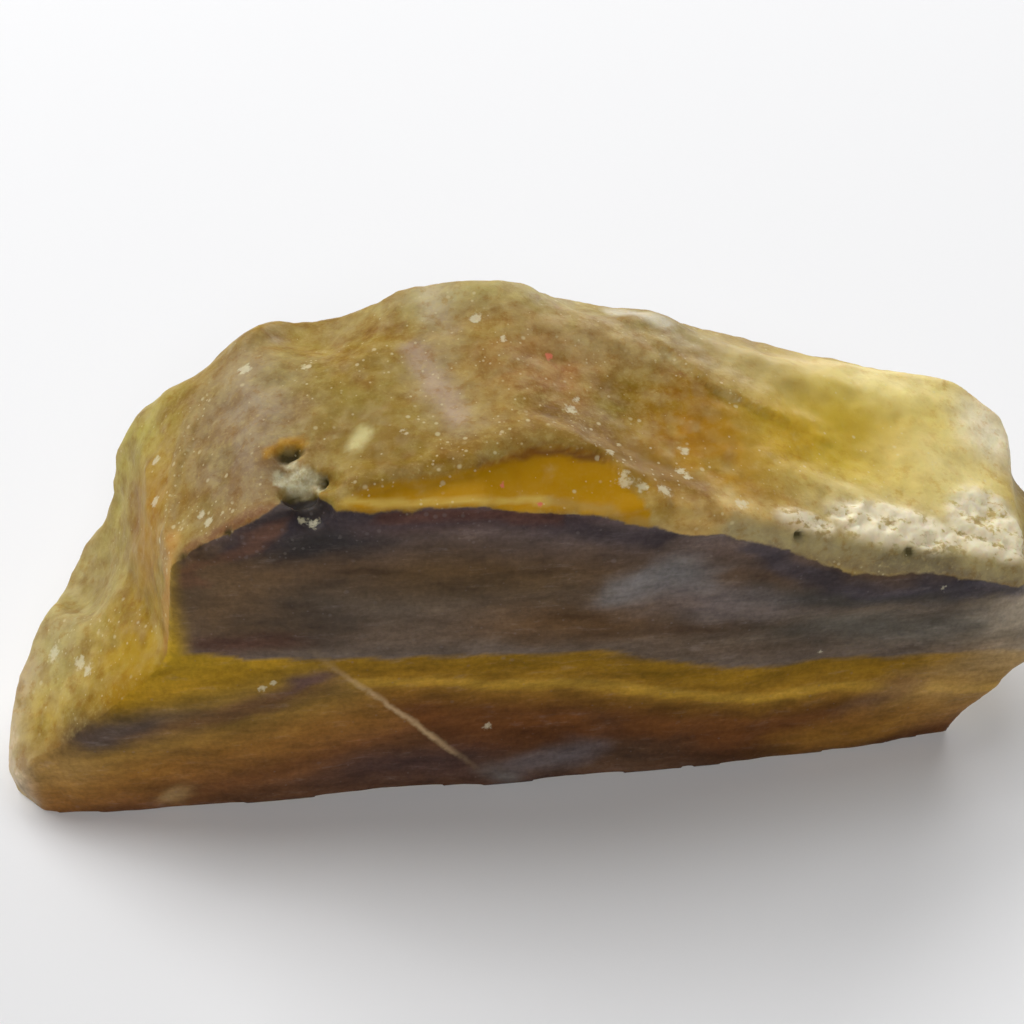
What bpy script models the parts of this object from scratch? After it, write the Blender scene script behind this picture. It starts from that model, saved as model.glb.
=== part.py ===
"""A hand-sized rough of banded fluorite, resting on its flat broken base.

The chunk is a union of convex blocks, each the hull of its own corner points. Flake scars and a
vug are then cut from it, its edges are worn round, and its surface is made uneven.
Points are in millimetres: X runs along the chunk, -Y is the banded front and Z is up.
"""

from math import radians, sqrt

import bmesh
import bpy
from mathutils import Matrix, Vector

MM = 0.001
NAME = "raw_fluorite"

# The wear and the unevenness of the surface, in millimetres.
GRAIN = 0.35  # a voxel's edge, which sets how crisp an edge can be
WEAR_PASSES = 5  # smoothing passes, which round the edges
LUMP_SIZE, LUMP_HEIGHT = 7.0, 0.7
RIPPLE_SIZE, RIPPLE_HEIGHT = 2.2, 0.28
MOST_TRIANGLES = 9400
FOOT = -3.0  # the blocks run down to here, and the base is cut at 0
FIRST_CUT = -0.5  # a first cut under the base, so that no triangles are spent below it
SHARP_ANGLE = 40.0  # edges at a wider angle than this, in degrees, stay sharp in the shading

# The body, from the flat front over the crest to the rough back.
BODY = [
    # base
    (-24.0, -13.1, FOOT), (-2.0, -13.6, FOOT), (10.0, -13.8, FOOT), (24.4, -13.0, FOOT),
    (25.5, -6.0, FOOT), (21.0, 9.0, FOOT), (2.0, 12.5, FOOT), (-17.0, 11.5, FOOT),
    (-24.0, 2.0, FOOT),
    # brow, the edge between front and top
    (-19.2, -12.0, 18.6), (-15.0, -12.6, 21.4), (-8.0, -13.0, 22.3), (0.0, -13.2, 22.3),
    (7.0, -13.1, 20.4), (14.0, -12.9, 17.1), (21.0, -12.6, 14.8), (28.5, -12.0, 13.0),
    # crest, the highest line
    (-18.4, 1.3, 21.8), (-14.4, 2.2, 24.4), (-2.6, 4.0, 25.2), (0.6, 3.2, 25.2),
    (9.4, 2.0, 22.8), (14.4, 1.8, 20.9), (21.3, 1.9, 18.5), (28.8, 1.8, 16.5), (31.5, -0.2, 14.7),
    # back shoulder
    (-17.0, 8.5, 17.5), (-3.0, 10.5, 19.5), (9.0, 9.5, 17.0), (22.0, 7.5, 12.0), (29.5, 4.0, 8.5),
    # right end
    (31.3, -2.2, 10.5), (30.0, -12.8, 6.4), (31.4, -8.0, 7.0),
]

# The tip, a wedge that runs out under the body's right end.
TIP = [
    (18.0, -12.8, 2.0), (18.0, 4.0, 2.0), (26.5, 4.0, 2.0), (24.6, -13.0, 0.2),
    (30.2, -12.7, 6.2), (33.6, -9.6, 8.2), (33.8, -7.0, 10.0), (32.9, -3.4, 10.2),
    (30.4, 1.5, 8.6), (31.8, -10.8, 11.5), (30.8, -4.6, 12.2), (31.0, -2.0, 12.9),
    (24.0, -12.4, 13.6), (22.0, 2.0, 12.0),
]

# The shoulder, which widens the body's left end and carries the side face.
SHOULDER = [
    (-12.0, -12.0, 19.0), (-19.5, -12.2, 18.4), (-20.2, -12.6, 12.4), (-18.8, 1.0, 21.4),
    (-22.8, 1.6, 18.5), (-24.1, 1.5, 16.2), (-24.5, 1.3, 13.4), (-25.4, 0.3, 10.4),
    (-21.0, -12.6, 10.0), (-19.0, 8.4, 16.0), (-23.4, 6.4, 9.0), (-12.0, 8.0, 19.0),
    (-22.4, 7.8, 3.0), (-16.0, 10.4, 12.0), (-12.0, -10.0, 2.0), (-12.0, 8.0, 2.0),
]

# The toe, the low bulge at the far left. A slanting facet joins its front to the body's.
TOE = [
    # base
    (-29.5, -13.0, FOOT), (-31.3, -11.0, FOOT), (-31.2, -4.0, FOOT), (-28.0, 3.5, FOOT),
    (-22.0, 8.6, FOOT), (-10.0, 8.0, FOOT), (-10.0, -13.5, FOOT),
    # front edge
    (-11.0, -13.3, 11.0), (-19.0, -13.5, 9.4), (-25.4, -13.3, 7.3), (-29.9, -12.7, 4.0),
    (-31.7, -10.8, 2.0), (-31.8, -9.6, 3.4), (-20.4, -12.7, 12.0),
    # top
    (-30.9, -7.4, 5.5), (-28.4, -3.2, 9.4), (-26.8, -1.4, 11.3), (-24.4, 1.5, 11.4),
    (-22.0, 6.5, 9.0), (-27.0, 3.5, 7.0), (-12.0, -9.0, 11.0),
]

# Flake scars, shallow dishes in the surface:
# (a point over the middle, outward direction, half length, half breadth, depth, turn in degrees).
OLD_SCARS = {
    "yellow_flake": ((19.5, -4.5, 18.0), (0.3, -0.25, 0.92), 7.0, 5.0, 0.5, -10.0),
    "crest_dip": ((-10.8, 2.6, 25.0), (0.0, 0.05, 1.0), 4.0, 8.5, 1.9, 0.0),
    "crest_chip": ((5.6, 3.6, 25.0), (0.25, 0.2, 0.95), 3.6, 3.6, 0.6, 0.0),
    "left_chip": ((-17.6, 2.0, 23.0), (-0.7, 0.2, 0.7), 2.4, 3.6, 0.5, 0.0),
    "right_dip": ((15.4, 2.2, 21.0), (0.3, 0.2, 0.93), 5.5, 3.6, 0.8, 0.0),
    "side_flake": ((-25.0, -2.6, 15.2), (-0.9, -0.3, 0.3), 4.6, 3.4, 0.45, 70.0),
    "side_flake_low": ((-26.0, 5.4, 12.0), (-0.8, 0.6, 0.1), 5.0, 2.8, 0.5, 40.0),
    "toe_flake": ((-29.0, -6.0, 8.0), (-0.6, -0.2, 0.75), 4.6, 2.6, 0.25, 60.0),
    "toe_back": ((-28.0, 6.0, 4.0), (-0.7, 0.7, 0.1), 6.0, 4.0, 0.9, 0.0),
    "back_step_high": ((-7.0, 14.0, 14.5), (-0.05, 1.0, 0.35), 12.0, 3.6, 1.3, 8.0),
    "back_step_low": ((2.0, 14.0, 6.0), (0.0, 1.0, 0.05), 13.0, 3.4, 1.1, -6.0),
    "back_corner": ((-19.0, 12.0, 8.0), (-0.5, 0.85, 0.1), 5.5, 6.5, 1.1, 30.0),
    "back_flake": ((14.0, 12.0, 11.0), (0.2, 1.0, 0.4), 7.5, 5.0, 1.2, -24.0),
    "back_top": ((2.0, 8.0, 24.0), (0.0, 0.55, 0.83), 9.0, 3.0, 0.7, 5.0),
    "back_top_left": ((-11.0, 8.0, 22.0), (-0.1, 0.6, 0.8), 5.0, 4.0, 0.7, -20.0),
    "back_right": ((26.0, 8.0, 9.0), (0.5, 0.8, 0.3), 6.5, 4.4, 0.7, 15.0),
    "front_flat": ((-2.0, -15.0, 7.0), (0.0, -1.0, 0.0), 13.0, 5.0, 0.3, 3.0),
    "front_right": ((17.0, -15.0, 9.0), (0.06, -1.0, 0.0), 8.0, 4.0, 0.35, -8.0),
    "under_tip": ((33.0, -7.0, 1.0), (0.75, 0.0, -0.66), 6.0, 5.0, 0.5, 90.0),
}
FRESH_SCARS = {
    "gold_window": ((3.0, -12.6, 22.0), (0.05, -0.35, 0.94), 6.6, 5.0, 0.9, 0.0),
    "gold_window_tail": ((-3.6, -13.0, 23.0), (0.0, -0.3, 0.95), 8.6, 2.8, 0.6, 0.0),
    "brown_flake": ((8.2, -5.6, 22.0), (0.12, -0.3, 0.94), 7.4, 3.4, 0.5, -38.0),
}
DISH = 6.0  # a scar's ellipsoid is this many scar depths in radius
REACH = 10.0  # how far outside the stone a scar's place is looked for
SCAR_LUMP_SIZE, SCAR_LUMP_HEIGHT = 3.4, 0.5  # which break the line of a scar's rim

# The vug beside the left of the brow: overlapping hollows, each (middle, radius).
VUG = {
    "vug_mouth": ((-13.3, -9.7, 22.9), 1.05),
    "vug_middle": ((-12.4, -11.0, 22.3), 1.25),
    "vug_foot": ((-11.8, -12.6, 21.5), 1.2),
    "vug_side": ((-11.0, -10.9, 22.5), 0.8),
}
VUG_LUMP_SIZE, VUG_LUMP_HEIGHT = 0.9, 0.8


def clear_scene():
    for old in list(bpy.data.objects):
        bpy.data.objects.remove(old, do_unlink=True)


def new_collection(name, shown):
    made = bpy.data.collections.new(name)
    bpy.context.scene.collection.children.link(made)
    made.hide_render = not shown
    return made


def new_object(name, shape, collection):
    """An object that holds the bmesh, which is freed."""
    mesh = bpy.data.meshes.new(name)
    shape.to_mesh(mesh)
    shape.free()
    made = bpy.data.objects.new(name, mesh)
    collection.objects.link(made)
    return made


def block(name, corners, collection):
    """The convex hull of the corner points."""
    shape = bmesh.new()
    for corner in corners:
        shape.verts.new(Vector(corner) * MM)
    hull = bmesh.ops.convex_hull(shape, input=shape.verts)
    inside = [v for v in hull["geom_interior"] if isinstance(v, bmesh.types.BMVert)]
    bmesh.ops.delete(shape, geom=inside)
    bmesh.ops.recalc_face_normals(shape, faces=shape.faces)
    return new_object(name, shape, collection)


def ball(name, placed, collection):
    """A unit sphere, placed and stretched by the matrix."""
    shape = bmesh.new()
    bmesh.ops.create_icosphere(shape, subdivisions=5, radius=1.0, matrix=placed)
    return new_object(name, shape, collection)


def surface_point(stone, point, outward):
    """The point of the stone's surface that lies straight inward of the point, in millimetres."""
    start = Vector(point) + outward * REACH
    return stone.ray_cast(start * MM, -outward)[1] / MM


def scar(stone, name, point, outward, half_length, half_breadth, depth, turn, collection):
    """An ellipsoid that bites a dish of that size and depth into a face facing outward."""
    up = Vector(outward).normalized()
    along = (Vector((1, 0, 0)) if abs(up.x) < 0.8 else Vector((0, 1, 0))).cross(up).cross(up)
    turned = Matrix.Rotation(radians(turn), 3, up) @ -along.normalized()
    axes = Matrix((turned, up.cross(turned), up)).transposed().to_4x4()
    spread = sqrt(1 - (1 - 1 / DISH) ** 2)
    sizes = (half_length / spread, half_breadth / spread, depth * DISH)
    centre = surface_point(stone, point, up) + up * depth * (DISH - 1)
    placed = Matrix.LocRotScale(centre * MM, axes.to_quaternion(), Vector(sizes) * MM)
    dish = ball(name, placed, collection)
    add_relief(dish, "scar_lumps", SCAR_LUMP_SIZE, SCAR_LUMP_HEIGHT)
    return dish


def join_blocks(stone, blocks):
    """Merges the blocks into the stone."""
    step = stone.modifiers.new("joined", "BOOLEAN")
    step.operation = "UNION"
    step.operand_type = "COLLECTION"
    step.collection = blocks
    bake_modifiers(stone)


def cut_away(stone, cutters):
    """Cuts the shapes out of the stone."""
    for cutter in cutters:
        step = stone.modifiers.new(cutter.name, "BOOLEAN")
        step.operation = "DIFFERENCE"
        step.object = cutter
    bake_modifiers(stone)


def hollow(name, middle, radius, collection):
    """A lumpy ball, to be cut away for one of the vug's hollows."""
    placed = Matrix.LocRotScale(Vector(middle) * MM, None, Vector((radius,) * 3) * MM)
    lump = ball(name, placed, collection)
    add_relief(lump, "vug_lumps", VUG_LUMP_SIZE, VUG_LUMP_HEIGHT)
    return lump


def add_relief(target, name, size, height):
    """Uneven ground of that grain and height, in millimetres."""
    clouds = bpy.data.textures.new(name, "CLOUDS")
    clouds.noise_scale = size * MM
    step = target.modifiers.new(name, "DISPLACE")
    step.texture = clouds
    step.strength = height * MM
    step.mid_level = 0.5


def wear_surface(stone):
    """Merges the blocks into one skin, rounds its edges and makes it uneven."""
    skin = stone.modifiers.new("skin", "REMESH")
    skin.mode = "VOXEL"
    skin.voxel_size = GRAIN * MM
    worn = stone.modifiers.new("worn", "SMOOTH")
    worn.iterations = WEAR_PASSES
    worn.factor = 0.5
    add_relief(stone, "lumps", LUMP_SIZE, LUMP_HEIGHT)
    add_relief(stone, "ripples", RIPPLE_SIZE, RIPPLE_HEIGHT)
    bake_modifiers(stone)


def bake_modifiers(target):
    """Replaces the object's mesh with what its modifiers make of it."""
    bpy.context.view_layer.update()
    graph = bpy.context.evaluated_depsgraph_get()
    target.data = bpy.data.meshes.new_from_object(target.evaluated_get(graph))
    target.modifiers.clear()


def cut_off_below(stone, height):
    """Cuts the stone off flat at that height, in millimetres, and closes the cut."""
    shape = bmesh.new()
    shape.from_mesh(stone.data)
    whole = shape.verts[:] + shape.edges[:] + shape.faces[:]
    cut = bmesh.ops.bisect_plane(
        shape, geom=whole, plane_co=(0, 0, height * MM), plane_no=(0, 0, 1), clear_inner=True
    )
    rim = [g for g in cut["geom_cut"] if isinstance(g, bmesh.types.BMEdge)]
    bmesh.ops.holes_fill(shape, edges=rim, sides=0)
    bmesh.ops.triangulate(shape, faces=[f for f in shape.faces if len(f.verts) > 3])
    shape.to_mesh(stone.data)
    shape.free()


def thin_out(stone):
    """Merges triangles where the surface is flat, down to the most that the stone may have."""
    stone.data.calc_loop_triangles()
    thinned = stone.modifiers.new("thinned", "DECIMATE")
    thinned.ratio = MOST_TRIANGLES / len(stone.data.loop_triangles)
    bake_modifiers(stone)


def centre_on_base(stone):
    """Puts the middle of the stone's length and breadth at the origin."""
    xs = [v.co.x for v in stone.data.vertices]
    ys = [v.co.y for v in stone.data.vertices]
    middle = Vector((min(xs) + max(xs), min(ys) + max(ys), 0)) / 2
    stone.data.transform(Matrix.Translation(-middle))


def fluorite_material():
    made = bpy.data.materials.new("fluorite")
    made.use_nodes = True
    surface = made.node_tree.nodes["Principled BSDF"]
    surface.inputs["Base Color"].default_value = (0.36, 0.23, 0.05, 1)
    surface.inputs["Roughness"].default_value = 0.45
    surface.inputs["Metallic"].default_value = 0.0
    return made


def hide_helpers(collection):
    for helper in collection.objects:
        helper.hide_render = True
        helper.display_type = "WIRE"


def build_stone():
    parts = new_collection(NAME, shown=True)
    blocks = new_collection("blocks", shown=False)
    cutters = new_collection("cutters", shown=False)
    stone = block(NAME, BODY, parts)
    for name, corners in (("tip", TIP), ("shoulder", SHOULDER), ("toe", TOE)):
        block(name, corners, blocks)
    join_blocks(stone, blocks)
    cut_away(stone, [scar(stone, name, *shape, cutters) for name, shape in OLD_SCARS.items()])
    wear_surface(stone)
    cuts = [scar(stone, name, *shape, cutters) for name, shape in FRESH_SCARS.items()]
    cuts += [hollow(name, *shape, cutters) for name, shape in VUG.items()]
    cut_away(stone, cuts)
    cut_off_below(stone, FIRST_CUT)
    thin_out(stone)
    cut_off_below(stone, 0)
    centre_on_base(stone)
    stone.data.materials.append(fluorite_material())
    stone.data.shade_smooth()
    stone.data.set_sharp_from_angle(angle=radians(SHARP_ANGLE))
    hide_helpers(blocks)
    hide_helpers(cutters)


if __name__ == "__main__":
    clear_scene()
    build_stone()
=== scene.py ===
"""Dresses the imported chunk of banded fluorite: a fine skin, its colours, a studio and a camera.

Places on the stone are in millimetres in the stone's own frame: X runs along the chunk, -Y is the
banded front and Z is up from the base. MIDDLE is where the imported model's origin lies in it.
"""

from math import cos, radians, sin

import bpy
import numpy as np
from mathutils import Matrix, Vector, noise
from mathutils.bvhtree import BVHTree


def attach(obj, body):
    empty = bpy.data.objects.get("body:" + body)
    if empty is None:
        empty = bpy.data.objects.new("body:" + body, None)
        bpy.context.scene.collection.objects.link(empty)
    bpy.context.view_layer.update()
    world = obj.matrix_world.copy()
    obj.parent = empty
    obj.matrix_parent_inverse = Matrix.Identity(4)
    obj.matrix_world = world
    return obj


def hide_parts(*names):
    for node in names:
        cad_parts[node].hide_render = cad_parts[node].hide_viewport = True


MM = 0.001
MIDDLE = (1.03, -0.73, 0.0)
X, Y, Z = range(3)
EVEN = (1.0, 1.0, 1.0)  # a stretch that changes nothing
FRACTAL = (1.0, 2.0)  # how fast a noise's finer bumps fade and shrink
MIX_BASE, MIX_OVER, MIX_RESULT = 6, 7, 2  # a mix node's sockets for colours
NODE = "raw_fluorite"

# The camera looks down at the front from a little to the left.
AIM = (0.0, 0.0, 10.0)
VIEW_YAW = 6.6
VIEW_ELEVATION = 40.0
VIEW_DISTANCE = 100.0
VIEW_ANGLE = 36.0

# The studio, in millimetres and watts.
FLOOR_HALF = 1500.0
PAPER = {"Base Color": (0.86, 0.86, 0.87, 1.0), "Roughness": 0.9, "Specular IOR Level": 0.1}
BLACK = (0.0, 0.0, 0.0, 1.0)
LAMP_DISTANCE = 1000.0
LAMP_BREADTH = 500.0
# name: (turn from +X and height in degrees, watts)
LAMPS = {
    "left_back": (150.0, 42.0, 4.0),
    "back": (120.0, 42.0, 3.4),
    "right_top": (60.0, 66.0, 2.2),
    "right_low": (60.0, 18.0, 4.4),
    "front": (-90.0, 42.0, 3.85),
}

# The skin.
VOXEL = 0.27
SMOOTH_PASSES = 6
FOOT_BAND = 0.4  # below this height the skin keeps to the CAD solid, so that the base stays flat
FOOT_FREE = 1.2  # above this height it is free of it
RELIEF_FULL = 1.6  # the relief grows from the foot band up to this height
BROAD_ROUNDS = 5  # how far the normals that the relief follows are averaged
DRIFT_SEED = 11  # the same drift of the colours each run


def linear(colour):
    """A colour of 0 to 255 values as the linear one that shaders take."""
    return tuple(((value / 255 + 0.055) / 1.055) ** 2.4 for value in colour)


def added(name, data):
    made = bpy.data.objects.new(name, data)
    bpy.context.scene.collection.objects.link(made)
    return made


def set_inputs(node, values):
    for name, value in values.items():
        node.inputs[name].default_value = value


# ---- the fine skin


def copy_of(node):
    """A new object with the CAD node's mesh, at a fine even grain."""
    fine = added("fluorite_skin", node.data.copy())
    grain = fine.modifiers.new("grain", "REMESH")
    grain.mode = "VOXEL"
    grain.voxel_size = VOXEL * MM
    ease = fine.modifiers.new("ease", "SMOOTH")
    ease.iterations = SMOOTH_PASSES
    bpy.context.view_layer.update()
    graph = bpy.context.evaluated_depsgraph_get()
    fine.data = bpy.data.meshes.new_from_object(fine.evaluated_get(graph))
    fine.modifiers.clear()
    seat_foot(fine.data, node.data)
    return fine


def seat_foot(mesh, solid):
    """Puts the skin's lowest vertices back on the CAD solid."""
    corners = [vertex.co for vertex in solid.vertices]
    tree = BVHTree.FromPolygons(corners, [face.vertices for face in solid.polygons])
    for vertex in mesh.vertices:
        height = vertex.co.z / MM
        if height < FOOT_FREE:
            seat = tree.find_nearest(vertex.co)[0]
            pull = (FOOT_FREE - height) / (FOOT_FREE - FOOT_BAND)
            vertex.co = vertex.co.lerp(seat, min(1.0, pull))


def read_vectors(mesh, name):
    flat = np.empty(len(mesh.vertices) * 3)
    mesh.vertices.foreach_get(name, flat)
    return flat.reshape(-1, 3)


def read_points(mesh):
    """The vertices' places, in millimetres in the stone's frame."""
    return read_vectors(mesh, "co") / MM + MIDDLE


def write_points(mesh, places):
    mesh.vertices.foreach_set("co", ((places - MIDDLE) * MM).ravel())
    mesh.update()


def smoothstep(low, high, value):
    t = np.clip((value - low) / (high - low), 0.0, 1.0)
    return t * t * (3 - 2 * t)


def blended(base, over, amount):
    """Places or colours that go from base to over, by an amount at each point."""
    return base + (over - base) * amount[:, None]


def lengths(steps):
    return np.linalg.norm(steps, axis=1)


def spot_far(places, centre, radii, turn=0.0, axis="Z"):
    """How far each place lies from a turned ellipsoid's middle; its surface is at 1."""
    turned = np.array(Matrix.Rotation(radians(turn), 3, axis))
    return lengths((places - centre) @ turned / radii)


def near(places, centre, radii, turn=0.0):
    """1 at the middle of an ellipsoid turned about Z, falling to 0 at its surface."""
    return smoothstep(1.0, 0.0, spot_far(places, centre, radii, turn))


def nearest_of(places, spots):
    """The strongest of several soft spots, each (centre, radii) and perhaps its turn."""
    return np.max([near(places, *spot) for spot in spots], axis=0)


def relief(places, size, seed, stretch=EVEN, octaves=3):
    """Fractal noise, about -1 to 1, whose largest bumps are that many millimetres across."""
    scaled = places / (np.array(stretch) * size) + seed
    return np.array([noise.fractal(p, *FRACTAL, octaves) for p in scaled])


def bumpy(places, height, *settings):
    return height * relief(places, *settings)


def broken(places, height, breadth, level, seed):
    """Crisp broken ground that stands above and below its level."""
    nearest = np.array([noise.voronoi(p)[0] for p in places / breadth + seed])
    return height * (nearest[:, 1] - nearest[:, 0] - level)


def averaged(mesh, values, rounds):
    """Each vertex's values averaged with its neighbours', so many times over."""
    ends = np.empty(len(mesh.edges) * 2, dtype=np.int64)
    mesh.edges.foreach_get("vertices", ends)
    one, other = ends.reshape(-1, 2).T
    size = len(values)
    count = np.bincount(ends, minlength=size)[:, None] + 1.0
    for _ in range(rounds):
        total = values.copy()
        for axis in range(3):
            total[:, axis] += np.bincount(one, values[other, axis], size)
            total[:, axis] += np.bincount(other, values[one, axis], size)
        values = total / count
    return values


def broad_normals(mesh, rounds):
    """The vertices' normals without the small bumps."""
    normals = averaged(mesh, read_vectors(mesh, "normal"), rounds)
    return normals / lengths(normals)[:, None]


# Ridges left where a flake broke off: a line of (x, y) points on the top, the height in
# millimetres, and how far the raised ground runs uphill.
SCARPS = {
    "window": (
        [(-10.4, -12.3), (-9.1, -11.8), (-7.6, -11.5), (-5.9, -11.3), (-4.7, -11.1), (-3.3, -10.9),
         (-2.6, -10.4), (-1.3, -9.9), (0.1, -9.6), (1.6, -9.4), (2.8, -9.6), (3.9, -9.8),
         (4.4, -10.4), (4.9, -11.2), (5.5, -12.4)],
        0.4, 2.2,
    ),
    "brown_flake": (
        [(7.6, 0.2), (9.3, -1.6), (10.4, -2.6), (11.2, -3.4), (12.6, -3.9), (14.2, -4.4),
         (15.6, -4.9), (16.6, -5.1)],
        0.3, 2.6,
    ),
    "left_ridge": (
        [(-20.1, -11.0), (-19.9, -10.2), (-19.7, -8.2), (-19.4, -5.8), (-18.7, -4.3), (-18.1, -1.6)],
        0.25, 1.2,
    ),
}
SCARP_EDGE = 0.3  # how far the step runs downhill
SCARP_RAGGED = 0.25
SCARP_TAPER = 1.6  # the step dies away over this length at each end

# Places where the ridges between the broad scars are worn away: (centre, radii).
EASED = [
    ((2.4, -5.4, 23.0), (6.0, 3.4, 3.0)), ((-13.4, -1.0, 23.4), (3.4, 4.0, 2.4)),
    ((11.0, -7.4, 20.4), (3.4, 3.0, 2.4)), ((5.4, -8.4, 21.8), (3.6, 3.0, 2.4)),
]
EASING_ROUNDS = 90
EASED_FULLY = 0.4  # as deep as this into such a place, the ridges are gone

# Broad swells and dips of the top: (centre, radii, rise).
SWELLS = [
    ((-2.6, 2.6, 24.8), (4.4, 3.4, 3.0), 0.45), ((-12.4, 1.8, 23.2), (3.4, 4.0, 3.4), -0.55),
    ((19.5, 2.4, 19.4), (12.5, 3.6, 4.0), -0.45), ((-30.6, -12.2, 1.8), (2.6, 2.6, 2.4), 0.4),
]


def from_segment(places, start, end):
    """The way to each place from the segment's nearest point, and the segment's run."""
    run = np.subtract(end, start)
    t = np.clip((places - start) @ run / (run @ run), 0.0, 1.0)
    return places - start - t[:, None] * run, run


def line_far(places, line):
    """The distance to a line of points."""
    offs = [from_segment(places, start, end)[0] for start, end in zip(line[:-1], line[1:])]
    return np.min([lengths(off) for off in offs], axis=0)


def line_distance(places, line):
    """The distance to the line seen from above, with a minus on its right-hand side."""
    best = np.full(len(places), np.inf)
    sign = np.ones(len(places))
    for start, end in zip(line[:-1], line[1:]):
        off, run = from_segment(places[:, :2], start, end)
        far = lengths(off)
        side = np.sign(run[0] * off[:, 1] - run[1] * off[:, 0])
        sign = np.where(far < best, side, sign)
        best = np.minimum(best, far)
    return best * sign


def scarp_height(places, line, height, reach, wobble):
    """A step that rises on the line's left-hand side and fades uphill and at its ends."""
    away = line_distance(places, line) + SCARP_RAGGED * wobble
    step = smoothstep(-SCARP_EDGE, 0.0, away) * smoothstep(reach, 0.0, away)
    ends = [lengths(places[:, :2] - end) for end in (line[0], line[-1])]
    return height * step * smoothstep(0.0, SCARP_TAPER, np.minimum(*ends))


# Pits: (centre, radius, depth).
PITS = [
    ((14.5, -12.7, 17.5), 0.36, 0.7), ((21.2, -12.2, 15.2), 0.4, 0.3),
    ((-19.0, -12.1, 18.5), 0.4, 0.35), ((-18.0, -12.1, 19.2), 0.3, 0.25),
    ((-16.4, -12.2, 20.3), 0.3, 0.25), ((5.2, -4.1, 22.6), 0.4, 0.25),
    ((-5.6, 9.8, 18.8), 0.7, 0.45), ((12.8, 9.4, 13.6), 0.8, 0.5), ((-14.6, 9.8, 12.9), 0.6, 0.45),
    # and the pocket's hollows
    ((-13.2, -8.6, 22.4), 0.5, 0.8), ((-12.7, -8.5, 22.5), 0.45, 0.6),
    ((-11.7, -9.7, 22.0), 0.3, 0.5), ((-11.3, -10.4, 21.8), 0.32, 0.7),
    ((-12.8, -11.0, 21.2), 0.55, 0.6), ((-12.0, -11.1, 21.2), 0.45, 0.5),
]

# The pocket beside the brow: its extent, (centre, radius), and the lump in it.
POCKET = [
    ((-13.0, -9.1, 22.3), 0.6), ((-13.4, -10.0, 21.9), 0.8), ((-12.5, -10.2, 21.8), 1.25),
    ((-11.5, -10.5, 21.8), 0.7),
]
POCKET_LUMP = ((-12.5, -9.8, 21.9), 0.9, 0.15)
POCKET_FOOT = ((-12.5, -12.6, 20.2), (3.8, 2.6, 2.4))  # it opens onto the dark front here
CRUST = [  # the powdery lumps at the right of the brow: (centre, radii, turn)
    ((20.4, -11.0, 15.8), (8.4, 2.5, 3.2), -4.0),
    ((27.0, -9.6, 14.2), (4.2, 4.2, 3.2), 0.0),
    ((14.4, -12.0, 17.4), (3.8, 1.2, 1.8), -4.0),
]
# Ground that is less frosted than the rest: (centre, radii, how clear).
CLEARER = [
    ((11.0, -7.4, 20.2), (6.0, 5.6, 4.0), 1.0), ((20.0, -2.6, 17.8), (14.0, 9.0, 7.0), 1.0),
    ((13.6, 0.6, 21.0), (9.0, 3.2, 3.0), 0.8), ((6.8, -9.6, 21.0), (6.4, 3.8, 3.6), 1.0),
    ((-8.6, -7.6, 23.0), (4.0, 6.0, 3.0), 0.7), ((-22.2, -5.4, 15.4), (4.0, 6.0, 6.0), 0.7),
    ((-22.6, -10.8, 10.8), (5.0, 3.4, 3.4), 0.7),
]
# The dark front's upper edge, where the top's paler stone begins.
BROW = [
    (-19.4, 18.4), (-19.0, 18.6), (-17.6, 19.8), (-15.8, 20.9), (-14.6, 21.4), (-13.6, 21.8),
    (-12.4, 21.6), (-11.1, 21.5), (-10.1, 21.7), (-8.5, 21.7), (-4.5, 21.7), (-2.9, 21.5),
    (-1.2, 21.2), (0.6, 20.8), (2.2, 20.6), (3.6, 20.3), (5.0, 19.7), (7.7, 18.7), (10.0, 18.3),
    (11.9, 17.5), (13.8, 16.7), (15.9, 15.4), (17.4, 14.7), (19.4, 14.1), (21.4, 14.0),
    (23.7, 13.3), (26.3, 12.5), (28.2, 11.8), (33.0, 10.4),
]

# Soft edges along the axes: (axis, where the ground begins, where it is whole).
TOE = [(X, -20.6, -21.8), (X, -31.4, -28.6), (Y, -10.4, -13.0), (Z, 12.4, 10.4)]
FRONT = [(Y, -11.2, -11.8)]
WINDOW = [(X, -10.9, -9.6), (Z, 17.5, 18.5)]
BACK = [(Y, 3.0, 7.0)]
RIGHT_END = [(X, 27.6, 30.4), (Z, 14.6, 12.8)]
LEFT_END = [(X, -28.0, -31.0)]
FEW_BLOTCHES = [(X, 9.0, 15.0)]
# Other soft edges: where the ground begins and where it is whole.
FRONT_TURN = (0.5, 0.75)  # how far the ground turns to -Y
FRONT_BROW = (0.35, -0.35)  # above and below the brow
WINDOW_RIM = (0.05, -0.25)  # downhill of the rim
WINDOW_REACH = (-3.6, -3.0)
TOP_TURN = (0.25, 0.6)  # how far the ground turns up
STRIP_CLEARANCE = (0.3, 1.1)  # the crust keeps this far off the strip
CRUST_EDGE = (0.04, 0.42)
POCKET_EDGE = (0.05, 0.4)
POCKET_FOOT_EDGE = (0.0, 0.2)
HOLLOW_EDGE = (0.05, 0.6)

# How far the edges stray, over noise of this breadth and seed.
WOBBLE = (1.1, 5.0)
BROW_RAGGED = 0.1
WINDOW_RAGGED = 0.2
STRIP_RAGGED = 0.2
POCKET_RAGGED = 0.15

# The relief: (height, breadth, seed) and the ripples' stretch along the layers.
BUMPS = [(0.045, 0.9, 1.0), (0.12, 3.0, 2.0)]
RIPPLES = (0.06, 1.1, 6.0, (6.0, 1.5, 1.0))
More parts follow.
